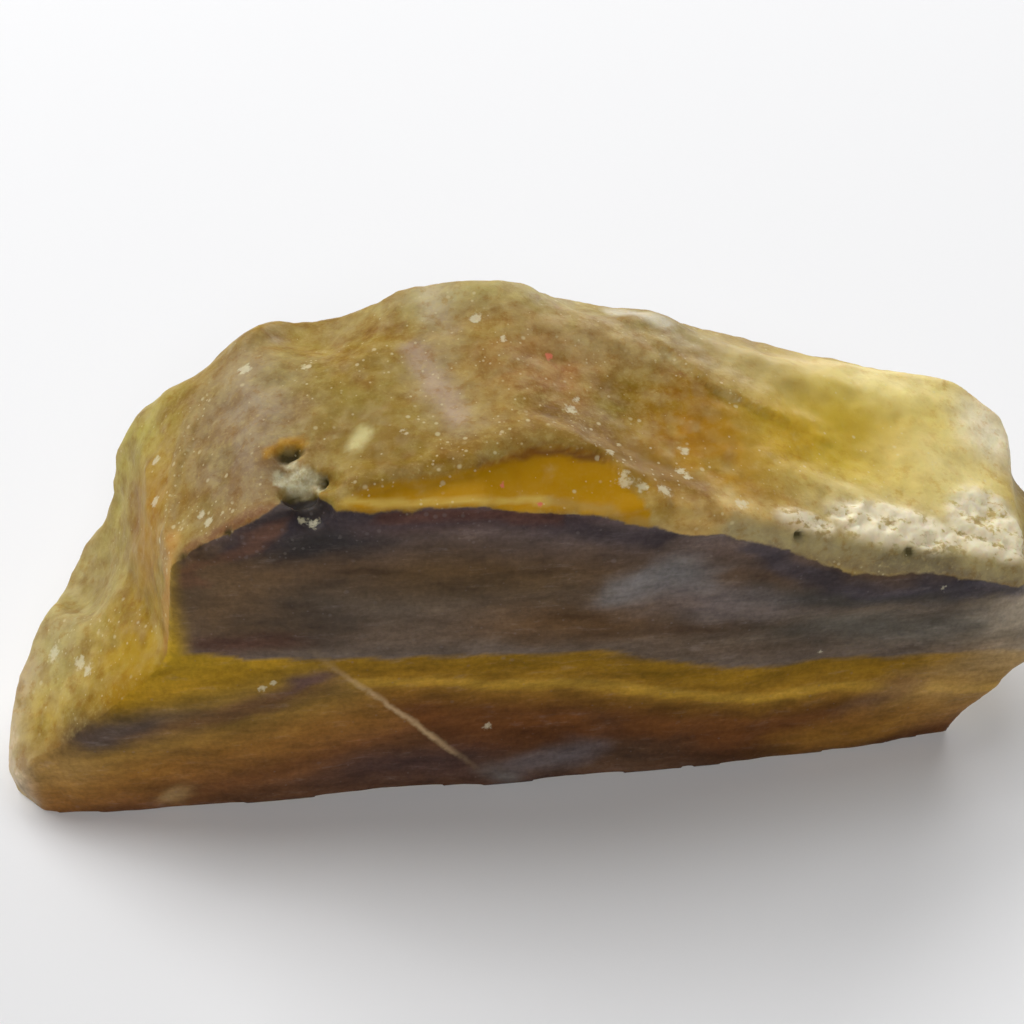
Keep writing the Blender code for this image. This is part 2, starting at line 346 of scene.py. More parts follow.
# Broken ground: (height, breadth, the level that stays in place, seed).
BREAKS = (0.05, 1.3, 0.35, 4.0)
SIDE_BREAKS = (0.10, 2.4, 0.35, 3.0)
CRUST_GRAINS = (0.12, 0.8, 0.0, 9.0)
POCKET_GRAINS = (0.3, 0.6, 0.5, 11.0)
FRONT_CALM = 0.6  # how much of the relief the front lacks
WINDOW_CALM = 0.85
FOLDS = (1.25, 7.0, (1.5, 1.0, 0.9), 4)  # the crust's: breadth, seed, stretch and octaves
FOLD_HEIGHT = 0.5
FOLD_LEVEL = 0.35
PIT_SLOPE = 1.6  # a pit fades out at this many radii
PIT_SHADE = 1.5  # and its shade at this many


def within(places, edges):
    """1 inside the soft edges."""
    return np.prod([smoothstep(low, high, places[:, axis]) for axis, low, high in edges], axis=0)


def front_mask(places, broad, wobble):
    """1 on the banded front, which ends at the brow."""
    faces = smoothstep(*FRONT_TURN, -broad[:, Y]) * within(places, FRONT)
    faces = np.maximum(faces, smoothstep(*POCKET_FOOT_EDGE, near(places, *POCKET_FOOT)))
    brow = np.interp(places[:, X], *zip(*BROW)) + BROW_RAGGED * wobble
    return faces * smoothstep(*FRONT_BROW, places[:, Z] - brow)


def window_mask(places, wobble):
    """1 on the fresh gold scar, between its broken rim and the brow."""
    away = line_distance(places, SCARPS["window"][0]) + WINDOW_RAGGED * wobble
    below = smoothstep(*WINDOW_RIM, away) * smoothstep(*WINDOW_REACH, away)
    return below * within(places, WINDOW)


def crust_mask(places, wobble):
    """1 on the powdery crust, which keeps off the strip along the brow."""
    off_strip = line_far(places, TOP_LINES["strip"][0]) + STRIP_RAGGED * wobble
    lumps = smoothstep(*CRUST_EDGE, nearest_of(places, CRUST))
    return lumps * smoothstep(*STRIP_CLEARANCE, off_strip)


def clear_mask(places, window, hollow):
    """How clear the stone is: 1 where it is fresh or hollow and 0 where it is frosted."""
    each = [amount * near(places, centre, radii) for centre, radii, amount in CLEARER]
    return np.max([window, hollow, *each], axis=0)


def ground_masks(places, broad, wobble):
    front = front_mask(places, broad, wobble)
    pocket = nearest_of(places, POCKET) + POCKET_RAGGED * wobble
    shaded = [(centre, radius * PIT_SHADE) for centre, radius, _ in PITS]
    return {
        "front": front,
        "top": smoothstep(*TOP_TURN, broad[:, Z]),
        "crust": crust_mask(places, wobble) * (1 - front),
        "pocket": smoothstep(*POCKET_EDGE, pocket),
        "window": window_mask(places, wobble) * (1 - front),
        "hollow": smoothstep(*HOLLOW_EDGE, nearest_of(places, shaded)),
    }


def skin_relief(places, ground):
    """The worn skin's bumps and breaks, and the front's ripples along its layers."""
    front = ground["front"]
    rough = (1 - FRONT_CALM * front) * (1 - WINDOW_CALM * ground["window"])
    rise = broken(places, *BREAKS) * rough
    rise += broken(places, *SIDE_BREAKS) * (1 - ground["top"]) * (1 - front)
    for bumps in BUMPS:
        rise += bumpy(places, *bumps) * rough
    return rise + bumpy(places, *RIPPLES) * front


def broad_relief(places, ground, wobble):
    """The ridges that flakes left, and the broad swells and dips."""
    rise = np.zeros(len(places))
    for line, height, reach in SCARPS.values():
        rise += scarp_height(places, line, height, reach, wobble) * ground["top"]
    for centre, radii, height in SWELLS:
        rise += height * near(places, centre, radii)
    return rise


def lump_relief(places, ground):
    """The crust's folds and grains, the pocket's grains and lump, and all pits."""
    folds = FOLD_HEIGHT * (FOLD_LEVEL - np.abs(relief(places, *FOLDS)))
    rise = ground["crust"] * (folds + broken(places, *CRUST_GRAINS))
    rise += ground["pocket"] * broken(places, *POCKET_GRAINS)
    for centre, radius, depth in PITS:
        rise -= depth * near(places, centre, radius * PIT_SLOPE)
    centre, radius, height = POCKET_LUMP
    return rise + height * near(places, centre, radius)


def ease_ridges(mesh):
    places = read_points(mesh)
    worn = smoothstep(0.0, EASED_FULLY, nearest_of(places, EASED))
    write_points(mesh, blended(places, averaged(mesh, places, EASING_ROUNDS), worn))


def sculpt(mesh):
    """Moves the skin's vertices to make the stone's fine ground, and returns its masks."""
    ease_ridges(mesh)
    places = read_points(mesh)
    broad = broad_normals(mesh, BROAD_ROUNDS)
    wobble = relief(places, *WOBBLE)
    ground = ground_masks(places, broad, wobble)

    rise = skin_relief(places, ground) + broad_relief(places, ground, wobble)
    rise += lump_relief(places, ground)
    rise *= smoothstep(FOOT_BAND, RELIEF_FULL, places[:, Z])
    moved = places + broad * rise[:, None]
    moved[:, Z] = np.maximum(moved[:, Z], 0.0)
    write_points(mesh, moved)

    ground["crust"] *= 1 - ground["hollow"]
    ground["clear"] = clear_mask(places, ground["window"], ground["hollow"])
    ground["toe"] = within(places, TOE)
    return ground


MATERIAL_MASKS = ("front", "crust", "pocket", "hollow", "clear")


def store_masks(mesh, masks):
    for name, values in masks.items():
        layer = mesh.attributes.new(name, "FLOAT", "POINT")
        layer.data.foreach_set("value", values.astype(np.float32))


def store_colours(mesh, name, colours):
    layer = mesh.color_attributes.new(name, "FLOAT_COLOR", "POINT")
    opaque = np.ones((len(colours), 1))
    layer.data.foreach_set("color", np.hstack([colours, opaque]).ravel())


# ---- the ground colours


# The front's layers, from the base up. Right of the pale vein their heights are above a line
# that falls to the right, and left of it above one that rises to the right. The bright stripe
# and the dark layer's foot wander, and the layers between follow them.
RIGHT_DIP = -0.129
LEFT_DIP = 0.26
LEFT_START = -25.0  # the left layers' heights are those here
STRIPE = [(-16.0, 9.9), (-6.2, 9.1), (-2.2, 8.1), (1.3, 7.6), (4.8, 7.1), (9.7, 5.9), (13.4, 5.3),
          (17.1, 5.4), (24.0, 4.4), (33.0, 3.4)]
DARK_FOOT = [(-18.9, 12.1), (-16.2, 11.7), (-13.4, 11.6), (-7.9, 11.1), (-2.2, 10.8), (3.5, 10.5),
             (6.5, 9.4), (9.5, 8.6), (13.1, 8.0), (15.6, 7.8), (21.8, 7.3), (28.0, 7.2), (33.0, 6.8)]
STRIPE_LEVEL = 7.5
DARK_LEVEL = 9.9
TOP_LEVEL = 22.5
DARK_EDGE = (DARK_LEVEL - 0.2, DARK_LEVEL + 0.1)
DARK_START = (-20.3, -18.9)
LAYERS_RIGHT = [
    (0.0, (92, 66, 56)), (1.2, (103, 76, 57)), (2.6, (92, 58, 34)), (4.2, (108, 66, 32)),
    (5.4, (114, 72, 34)), (6.3, (122, 84, 32)), (7.0, (138, 100, 36)), (7.3, (174, 134, 46)),
    (7.7, (178, 140, 52)), (8.0, (154, 114, 34)), (8.9, (142, 106, 24)), (9.7, (146, 110, 28)),
    (9.95, (109, 95, 83)), (11.5, (108, 90, 74)), (14.0, (101, 87, 73)), (16.5, (93, 72, 52)),
    (19.5, (102, 87, 81)), (22.5, (100, 86, 92)),
]
LAYERS_LEFT = [
    (-2.0, (103, 71, 49)), (0.5, (118, 77, 42)), (3.0, (149, 104, 45)), (5.0, (144, 110, 49)),
    (6.6, (136, 105, 54)), (7.6, (141, 110, 41)), (8.6, (168, 129, 31)), (11.0, (178, 144, 35)),
]

# Stains on the front: (centre, radii, turn, softness, colour, amount).
FRONT_STAINS = {
    "grey_haze": ((7.0, -13.0, 15.0), (3.4, 4, 1.7), 2, 0.5, (130, 126, 124), 0.85),
    "lilac_haze": ((10.8, -13.0, 13.3), (5.0, 4, 1.2), -8, 0.8, (120, 108, 104), 0.85),
    "brown_window": ((2.0, -13.0, 13.2), (6.0, 4, 1.6), -4, 0.8, (100, 69, 32), 0.7),
    "brown_core": ((11.5, -13.0, 11.0), (5.4, 4, 0.7), -7, 0.7, (70, 47, 26), 0.7),
    "low_haze": ((10.0, -13.0, 9.6), (5.2, 4, 0.7), -8, 0.7, (93, 77, 62), 0.65),
    "right_haze": ((21.5, -13.0, 9.6), (8.0, 4, 1.3), -6, 0.8, (91, 89, 81), 0.7),
    "right_dark": ((20.4, -13.0, 12.6), (8.6, 4, 0.8), -8, 0.6, (64, 62, 59), 0.8),
    "left_blue": ((-11.8, -13.0, 19.6), (4.6, 4, 1.0), 6, 0.7, (44, 44, 46), 0.8),
    "left_brown": ((-16.6, -12.8, 16.0), (3.4, 4, 2.6), 0, 0.7, (120, 91, 57), 0.6),
    "left_dark": ((-13.0, -13.0, 14.6), (3.2, 4, 1.8), 0, 0.8, (50, 42, 35), 0.6),
    "left_foot": ((-16.4, -12.9, 12.9), (2.6, 4, 0.8), 0, 0.7, (72, 41, 32), 0.7),
    "brow_red": ((-2.4, -13.0, 20.9), (6.6, 4, 0.8), -1, 0.8, (122, 84, 70), 0.65),
    "mid_dark": ((-4.0, -13.0, 17.0), (6.0, 4, 1.6), -3, 0.8, (90, 68, 37), 0.6),
    "low_purple": ((-7.4, -13.4, 1.9), (5.2, 4, 1.5), -2, 0.8, (80, 60, 56), 0.8),
    "low_purple_right": ((4.4, -13.4, 1.8), (5.0, 4, 1.1), -6, 0.8, (88, 67, 50), 0.7),
    "grey_chip": ((0.1, -13.5, 2.1), (2.1, 4, 0.8), 16, 0.9, (120, 112, 114), 0.65),
    "grey_chip_left": ((-2.4, -13.6, 1.0), (1.1, 4, 0.6), 0, 0.9, (124, 123, 118), 0.5),
    "lilac_low": ((3.0, -13.4, 4.3), (1.8, 4, 0.5), -20, 0.8, (67, 48, 34), 0.5),
    "end_olive": ((25.8, -13.0, 4.4), (3.6, 4, 2.6), 20, 0.8, (172, 138, 84), 0.6),
    "end_haze": ((29.6, -12.6, 9.6), (3.4, 4, 3.6), -6, 0.9, (168, 154, 132), 0.6),
    "end_lilac": ((21.6, -13.0, 4.6), (2.6, 4, 0.9), 22, 0.8, (133, 99, 72), 0.65),
    "end_gold": ((20.5, -13.0, 1.8), (5.0, 4, 1.2), 8, 0.8, (157, 112, 42), 0.7),
    "toe_glow": ((-28.8, -12.8, 4.0), (2.6, 4, 1.6), 10, 0.9, (168, 132, 74), 0.6),
    # painted shade at the pocket's opening onto the front
    "pocket_mouth_painted_shade": ((-12.6, -12.0, 20.9), (1.9, 4, 1.1), 0, 0.7, (50, 46, 42), 0.9),
    "foot_pale": ((-21.8, -13.3, 1.0), (1.3, 4, 0.5), 2, 0.9, (200, 166, 112), 0.7),
}
# The purple lens at the left, in two lengths.
LENS_STAINS = {
    "lens_head": ((-24.3, -13.3, 7.1), (3.2, 4, 1.15), 10, 0.6, (66, 58, 62), 0.8),
    "lens_tail": ((-18.0, -13.3, 8.0), (4.2, 4, 0.75), 15, 0.7, (100, 70, 46), 0.8),
    "lens_tip": ((-13.8, -13.3, 9.8), (2.2, 4, 0.35), 22, 0.7, (83, 62, 70), 0.75),
}
# The pale vein down the front, as (x, z): it fades in and out over these heights.
VEIN_START = (-13.4, 12.9)
VEIN_END = (-3.0, 0.6)
VEIN_BREADTH = 0.34
VEIN_RAGGED = 0.9
VEIN_FOOT = (0.8, 4.6)
VEIN_HEAD = (13.0, 8.0)
VEIN_BLEND = (-0.6, 0.5)  # the layers on its two sides meet over this distance

TOP_STAINS = {
    "left_mauve": ((-15.6, -6.4, 22.0), (3.4, 6.0, 3), 0, 0.8, (145, 125, 104), 0.85),
    "mauve_pink": ((-14.6, -3.4, 23.0), (1.8, 3.4, 3), 10, 0.8, (164, 146, 118), 0.7),
    "green_haze": ((-12.7, -2.2, 23.4), (1.6, 1.8, 3), 0, 0.9, (156, 139, 82), 0.6),
    "gold_middle": ((-8.8, -7.4, 23.0), (2.6, 5.0, 3), 0, 0.9, (129, 101, 29), 0.6),
    "tan_middle": ((0.4, -3.2, 23.6), (4.6, 5.0, 3), 0, 0.9, (163, 125, 67), 0.8),
    "brown_middle": ((3.2, -3.6, 23.0), (3.4, 2.4, 3), 0, 0.9, (178, 124, 74), 0.6),
    "crest_pale": ((-1.4, 2.6, 25.0), (9.0, 1.8, 4), 0, 0.8, (184, 172, 118), 0.7),
    "brown_flake": ((8.4, -4.6, 21.6), (4.2, 3.6, 3), -30, 0.7, (128, 98, 12), 0.85),
    "olive_flake": ((6.6, -5.8, 21.6), (2.0, 1.8, 3), 0, 0.8, (137, 118, 39), 0.7),
    "orange_flake": ((10.6, -7.2, 20.2), (4.4, 4.0, 3), -40, 0.8, (170, 118, 6), 0.95),
    "gold_front": ((8.6, -10.8, 20.4), (4.0, 2.2, 3), -10, 0.8, (166, 126, 34), 0.85),
    "mid_crest": ((6.0, -0.6, 23.0), (4.6, 1.6, 3), -4, 0.9, (196, 172, 120), 0.75),
    "orange_low": ((10.8, -11.2, 19.6), (4.6, 2.0, 3), -8, 0.8, (182, 138, 34), 0.85),
    "brow_pale": ((10.6, -12.4, 19.0), (4.8, 1.1, 1.8), 0, 0.8, (222, 190, 124), 0.85),
    "grey_shelf": ((10.6, 0.6, 22.0), (4.6, 1.7, 3), -12, 0.7, (145, 127, 82), 0.8),
}
RIGHT_STAINS = {
    "yellow_end": ((22.0, -4.6, 17.0), (9.6, 7.2, 6), 0, 0.5, (214, 183, 62), 0.95),
    "pale_green": ((14.4, -0.6, 20.4), (3.6, 2.6, 4), -10, 0.8, (205, 183, 120), 0.75),
    "gold_streak": ((22.6, -4.2, 17.0), (5.4, 1.8, 4), 6, 0.9, (199, 165, 54), 0.8),
    "ochre_spot": ((15.6, -6.0, 18.8), (1.6, 2.4, 4), -10, 0.9, (205, 162, 37), 0.7),
    "lemon_end": ((27.8, -1.9, 15.9), (2.6, 1.4, 4), 0, 0.9, (240, 210, 64), 0.85),
    "pink_rim": ((20.6, 1.4, 18.8), (4.2, 0.7, 3), -6, 0.8, (214, 186, 148), 0.7),
    "crust_haze": ((26.0, -6.0, 15.4), (4.2, 3.8, 3), 0, 0.8, (240, 222, 150), 0.9),
    "crust_foot": ((21.0, -10.6, 16.0), (8.6, 2.4, 3), -4, 0.7, (222, 206, 152), 0.7),
    "end_crest": ((24.6, 0.4, 17.6), (6.8, 2.4, 4), -6, 0.8, (242, 224, 148), 0.85),
    "white_corner": ((29.6, -1.6, 15.0), (2.2, 2.6, 3), 0, 0.8, (252, 242, 212), 0.85),
}
LEFT_STAINS = {
    "side_olive": ((-22.4, 0.0, 16.0), (2.8, 6.0, 6), 0, 0.8, (184, 170, 88), 0.85),
    "side_orange": ((-21.0, -6.4, 16.4), (1.8, 3.4, 4.5), 0, 0.8, (172, 122, 16), 0.8),
    "side_brown": ((-22.4, -3.4, 14.4), (1.2, 2.8, 2.4), 0, 0.9, (140, 87, 5), 0.7),
    "toe_green": ((-28.0, -5.0, 8.0), (4.2, 8.0, 6), 0, 0.7, (188, 174, 118), 0.85),
    "toe_yellow": ((-22.6, -11.0, 10.6), (5.4, 3.6, 2.6), 0, 0.8, (186, 150, 43), 0.9),
    "toe_pink": ((-30.6, -8.4, 5.6), (1.2, 4.6, 4.6), 0, 0.9, (212, 190, 156), 0.7),
    "toe_foot": ((-30.6, -11.6, 2.4), (1.8, 2.4, 2.6), 0, 0.9, (226, 208, 180), 0.85),
    "toe_olive": ((-28.4, -11.2, 6.0), (2.6, 2.2, 2.2), 0, 0.9, (204, 172, 70), 0.75),
}

# Lines of colour over the top: (points, half breadth, colour, amount).
TOP_LINES = {
    "mauve_haze": ([(-4.4, 3.4, 24.7), (-4.2, -0.5, 24.4), (-5.1, -3.9, 23.7), (-3.6, -8.0, 23.2)],
                   1.5, (186, 178, 168), 0.18),
    "mauve_streak": ([(-5.8, -1.9, 24.1), (-5.1, -3.9, 23.7), (-4.3, -6.0, 23.4), (-3.8, -7.4, 23.2)],
                     0.75, (186, 162, 138), 0.75),
    "mauve_crest": ([(-4.6, 3.0, 24.8), (-4.3, 0.6, 24.5)], 0.8, (202, 188, 160), 0.35),
    "sill": ([(-4.2, -10.0, 22.5), (-1.6, -9.0, 22.8), (1.0, -8.6, 22.6), (3.6, -9.0, 22.2),
              (5.4, -10.4, 21.4)], 0.9, (138, 104, 40), 0.7),
    "scarp_foot": ([(-2.6, -10.6, 22.5), (-1.3, -10.1, 22.4), (0.1, -9.8, 22.3), (1.6, -9.6, 22.2),
                    (2.8, -9.8, 22.0), (3.9, -10.0, 21.7)], 0.28, (128, 78, 34), 0.8),
    # painted glow: a bright line along the window's lower rim and on along the brow
    "rim": ([(-10.2, -12.4, 22.0), (-8.4, -12.7, 21.9), (-6.4, -12.6, 21.8), (-4.5, -12.6, 21.8),
             (-2.8, -12.8, 21.7), (-1.0, -12.4, 21.3), (0.7, -12.3, 21.0)],
            0.26, (208, 182, 96), 0.65),
    "rim_right": ([(0.7, -12.3, 21.0), (3.0, -12.7, 20.5), (5.4, -13.1, 19.8), (8.6, -13.1, 18.9),
                   (11.5, -13.1, 18.0)], 0.3, (172, 142, 78), 0.6),
    "strip": ([(10.6, -13.0, 18.6), (14.5, -12.8, 17.2), (18.2, -12.6, 15.7), (21.4, -12.5, 14.8),
               (23.6, -12.3, 14.1), (26.2, -12.2, 13.3), (29.0, -12.2, 12.4)],
              0.75, (158, 146, 108), 0.85),
    "strip_dark": ([(19.6, -12.6, 15.0), (21.6, -12.5, 14.6), (23.4, -12.3, 14.0)], 0.8,
                   (116, 104, 78), 0.7),
    "strip_foot": ([(12.6, -13.1, 17.2), (15.9, -12.8, 15.6), (19.4, -12.8, 14.3), (23.7, -12.4, 13.5),
                    (28.2, -12.3, 12.0)], 0.35, (122, 109, 90), 0.6),
    "left_brow": ([(-19.2, -12.0, 18.8), (-18.0, -12.0, 19.6), (-16.7, -12.0, 20.5),
                   (-15.2, -12.2, 21.4), (-13.8, -12.2, 21.9)], 0.5, (132, 88, 62), 0.75),
    "left_strip": ([(-19.9, -10.7, 18.5), (-20.1, -12.0, 17.1), (-20.3, -12.2, 14.4),
                    (-20.2, -12.6, 12.5)], 1.0, (198, 148, 78), 0.75),
    "left_ridge": ([(-20.1, -11.0, 17.7), (-19.9, -9.0, 18.7), (-19.4, -5.8, 19.8),
                    (-18.1, -1.6, 21.4)], 0.5, (158, 136, 86), 0.5),
    "flake_ridge": ([(7.6, 0.2, 22.6), (9.3, -1.6, 22.0), (11.2, -3.4, 21.2), (12.6, -3.9, 20.6)],
                    0.3, (211, 192, 137), 0.6),
    "crest_chips": ([(6.4, 2.8, 23.0), (7.8, 2.0, 23.1), (9.3, 1.4, 22.7)], 0.7, (214, 206, 184), 0.8),
    "notch": ([(-8.2, 2.2, 23.7), (-8.2, 0.7, 23.8)], 0.5, (146, 108, 30), 0.6),
    "green_patch": ([(-8.9, -7.8, 23.1), (-9.4, -8.7, 22.9)], 0.5, (212, 202, 142), 0.8),
    # the flake's orange, painted darker as shade where the ridge catches more light
    "ridge_gold_painted_shade": ([(0.6, -6.6, 22.7), (3.8, -8.2, 22.0), (6.4, -9.9, 21.0), (9.0, -11.3, 20.2)],
                   1.2, (128, 90, 2), 0.85),
    "pocket_rim": ([(-14.1, -8.5, 22.4), (-13.3, -7.8, 22.6), (-12.2, -7.9, 22.6)], 0.34,
                   (186, 138, 34), 0.85),
    "green_wisp": ([(-11.4, -4.6, 23.5), (-10.6, -6.0, 23.3)], 0.4, (150, 128, 67), 0.5),
}
FRONT_LINES = {
    "brow_dark": ([(-17.0, -12.5, 19.8), (-13.6, -12.6, 20.9), (-9.0, -13.0, 21.2), (-3.0, -13.1, 20.9),
                   (2.0, -13.0, 20.0), (7.0, -13.2, 18.4)], 0.9, (62, 54, 58), 0.8),
    "strip_shade": ([(12.6, -13.1, 16.6), (15.9, -12.8, 14.9), (19.4, -12.8, 13.5), (23.7, -12.4, 12.7),
                     (28.2, -12.3, 11.3)], 0.8, (68, 62, 68), 0.8),
    "left_rust": ([(-19.3, -12.4, 17.4), (-17.2, -12.6, 19.4), (-15.0, -12.6, 20.5), (-13.4, -12.6, 20.9)],
                  0.5, (112, 76, 54), 0.6),
    "rust": ([(-9.0, -13.0, 21.3), (-5.4, -13.1, 21.2), (-2.4, -13.1, 20.8), (1.0, -13.0, 20.5)],
             0.4, (98, 62, 46), 0.6),
}

# Pale chips that stand out: (place, radius).
CHIPS = [
    ((-15.4, -1.2, 23.1), 0.42), ((-11.9, -2.1, 23.6), 0.3), ((-6.8, -8.3, 23.2), 0.22),
    ((2.6, -6.4, 22.6), 0.4), ((3.0, -5.4, 22.4), 0.25), ((4.2, -9.7, 21.8), 0.25),
    ((4.9, -11.2, 21.1), 0.5), ((5.7, -11.7, 21.0), 0.32), ((6.8, -11.9, 20.7), 0.42),
    ((8.7, -8.2, 20.4), 0.34), ((8.2, -9.8, 20.3), 0.3), ((8.5, -10.3, 20.2), 0.25),
    ((11.3, -11.8, 19.3), 0.4), ((12.6, -3.9, 20.6), 0.26), ((-2.1, 0.1, 24.6), 0.4),
    ((-0.7, -1.8, 24.4), 0.26), ((-20.8, -3.7, 18.9), 0.3), ((-20.8, -6.6, 18.3), 0.35),
    ((-17.5, -10.8, 20.0), 0.34), ((-18.0, -10.0, 19.9), 0.26), ((-20.4, -9.4, 17.8), 0.26),
    ((-28.1, -7.3, 7.8), 0.5), ((-26.4, -9.0, 8.6), 0.4), ((-25.8, -9.8, 8.7), 0.36),
    ((23.6, -12.9, 12.6), 0.3), ((16.8, -12.9, 8.2), 0.22), ((-3.0, -13.3, 4.7), 0.3),
    ((-15.7, -13.5, 9.8), 0.24), ((-15.0, -13.5, 10.1), 0.2), ((-12.5, -12.2, 20.8), 0.26),
    ((-11.9, -12.3, 20.7), 0.34), ((-13.2, -12.0, 20.7), 0.2),
]
RED_SPECKS = [((1.8, -2.5, 23.5), 0.28), ((-1.9, -11.6, 21.7), 0.2), ((0.0, -12.5, 21.0), 0.2)]

# Bruised ground, thick with pale specks: (line, half breadth, how thick).
DUSTY = [
    ([(-20.1, -11.0, 17.7), (-19.7, -8.2, 18.9), (-18.7, -4.3, 20.6), (-18.1, -1.6, 21.4)], 1.0, 0.5),
    ([(-4.5, -10.2, 22.5), (0.1, -8.6, 22.7), (3.4, -8.6, 22.2), (5.4, -10.6, 21.3)], 1.7, 0.35),
    ([(-10.0, -11.8, 22.3), (-4.7, -10.9, 22.4)], 0.6, 0.5),
    ([(7.6, 0.2, 22.6), (10.4, -2.6, 21.6), (12.6, -3.9, 20.6)], 0.5, 0.6),
    ([(2.4, -6.0, 22.7), (4.4, -8.4, 21.9), (6.4, -11.0, 21.0), (9.4, -12.6, 19.9)], 1.1, 0.25),
    ([(6.0, -9.6, 21.2), (10.0, -9.4, 20.0)], 1.6, 0.18),
    ([(-19.4, -9.0, 19.0), (-16.8, -11.2, 20.6)], 1.4, 0.5),
    ([(-22.0, -10.0, 12.6), (-28.4, -6.6, 8.2)], 2.0, 0.3),
    ([(-9.0, -3.0, 23.9), (3.0, -3.0, 23.6)], 4.5, 0.22),
    ([(-17.0, -12.6, 19.4), (-12.0, -12.8, 20.4), (-4.0, -13.0, 20.4)], 1.6, 0.4),
    ([(12.0, -8.0, 19.6), (26.0, -5.0, 16.0)], 4.0, 0.15),
]
DUST = 0.1  # what lies elsewhere
LINE_EDGE = (1.5, 0.3)  # in half breadths, where a soft line begins and where it is whole

# Small blotches on the top: (breadth in millimetres, seed, colour, amount).
BLOTCHES = [
    (1.5, 40.0, (132, 92, 22), 0.4), (1.2, 41.0, (172, 150, 112), 0.25),
    (2.0, 42.0, (146, 128, 50), 0.3), (0.8, 43.0, (206, 186, 126), 0.14),
]
BLOTCH_EDGE = (0.05, 0.45)
LOST_AT_RIGHT = 0.85  # how much of the blotches is lost there
LOST_IN_WINDOW = 0.8

# How the colours stray: smooth noises, each (breadth, reach, stretch, seed).
STREAKS = [
    (6.0, (1.6, 0.0, 0.7), (1.5, 1.0, 1.0), 20.0),
    (1.6, (1.5, 0.0, 0.45), (2.5, 1.0, 0.8), 21.0),
    (0.6, (0.6, 0.0, 0.2), (2.0, 1.0, 1.0), 22.0),
]
WAVES = [
    (3.0, (0.0, 0.0, 0.3), (1.5, 1.0, 2.0), 23.0),
    (0.8, (0.0, 0.0, 0.16), (2.0, 1.0, 1.0), 24.0),
]
SKIN_DRIFT = [
    (3.0, (0.5, 0.5, 0.5), EVEN, 30.0),
    (0.9, (0.25, 0.25, 0.25), EVEN, 31.0),
]
LINE_DRIFT = [(0.9, (0.25, 0.25, 0.2), EVEN, 33.0)]

# The ground under the stains: patches of olive and tan, and the front's layers behind, under frost.
PATCHES = (5.0, 32.0)
PATCH_EDGE = (-0.35, 0.35)
LAYERS_BEHIND = 0.85
FROST_BEHIND = 0.35
# how strongly painted shade darkens the pits and hollows
HOLLOW_SHADE = 0.9

# Colours of the ground and of the finer marks.
OLIVE = (150, 118, 38)
TAN = (164, 138, 66)
WINDOW_COLOUR = (182, 133, 4)
# painted shade, laid into the pits and the pocket's hollows
PAINTED_HOLLOW_SHADE_COLOUR = (60, 52, 26)
BACK_FROST = (176, 150, 88)
FROST_COLOUR = (204, 184, 118)
FIBRE_COLOUR = (140, 130, 126)
PALE_DUST = (218, 206, 164)
CHIP_COLOUR = (222, 214, 180)
CRUST_COLOUR = (244, 232, 200)
# painted shade between the crust's lumps
CRUST_SHADE = (196, 184, 134)
POCKET_COLOUR = (212, 206, 172)
RED_COLOUR = (212, 120, 88)
VEIN_COLOUR = (206, 176, 132)

# The material's noises: (breadth in millimetres, detail, roughness, stretch).
NOISES = {
    "fine": (0.28, 3.0, 0.6, EVEN),
    "mottle": (0.75, 5.0, 0.7, EVEN),
    "coarse": (1.6, 4.0, 0.6, EVEN),
    "fibres": (0.5, 4.0, 0.65, (4.0, 1.0, 1.0)),
    "clouds": (1.9, 5.0, 0.6, (2.4, 1.0, 0.8)),
    "lumps": (0.8, 4.0, 0.6, (1.6, 1.0, 0.8)),
}
# Veils over the skin: (noise, where it begins, where it is whole, amount, colour, blend).
VEILS = [
    ("coarse", 0.48, 0.75, 0.16, FROST_COLOUR, "MIX"),
    ("mottle", 0.5, 0.68, 0.2, FROST_COLOUR, "MIX"),
    ("fine", 0.5, 0.72, 0.2, FROST_COLOUR, "MIX"),
    ("coarse", 0.6, 0.25, 0.32, (168, 126, 62), "MULTIPLY"),
    ("mottle", 0.5, 0.32, 0.5, (222, 186, 110), "MULTIPLY"),
]
VEILS_LOST = 0.8  # on clear ground
# Covers: where each begins, where it is whole, and the least and the most of it.
PALE_FIBRES = (0.55, 0.8, 0.0, 0.2)
CRUST_COVER = (0.36, 0.5, 0.25, 0.9)
CRUST_SHADED = (0.45, 0.33, 0.0, 0.5)
POCKET_COVER = (0.35, 0.65, 0.45, 0.85)
VEIN_PATCHY = (0.2, 0.6, 0.0, 0.75)
# Light and dark on the front: (noise, from, to, darkest, lightest).
FRONT_SHADES = [
    ("fibres", 0.3, 0.7, 0.86, 1.14),
    ("clouds", 0.35, 0.65, 0.72, 1.28),
    ("fine", 0.3, 0.7, 0.85, 1.15),
]
EDGE_RAGGED = 1.4  # the front's edge
EDGE = (0.3, 0.7)
CRUST_RAGGED = 0.3
CHIP_RAGGED = 1.1
CHIP_EDGE = (0.4, 0.7)
CHIP_AMOUNT = 0.6
# Grains of dust: the gaps between them, their size in gaps, and how plain they are.
DUST_GAPS = (0.5, 0.27)
DUST_SIZES = (0.14, 0.42)
DUST_EDGE = (1.0, 0.4)
DUST_DRAWN = (1.0, 1.1)
SKIN_DUST = 0.5
FRONT_DUST = 0.2
BUMP_DEPTH = 0.08
BUMP_STRENGTH = 0.5
BUMP_LOST = 0.4  # on clear ground
ROUGH = 0.3
ROUGH_RANGE = 0.35
CRUST_GLOSS = 0.1
OPTICS = {
    "IOR": 1.43,
    "Specular IOR Level": 0.1,
    "Subsurface Weight": 0.4,
    "Subsurface Radius": (1.0, 0.6, 0.25),
    "Subsurface Scale": 0.8 * MM,
}


def lay(base, colour, amount):
    """The base colours with one colour laid over them."""
    return blended(base, np.array(linear(colour)), amount)


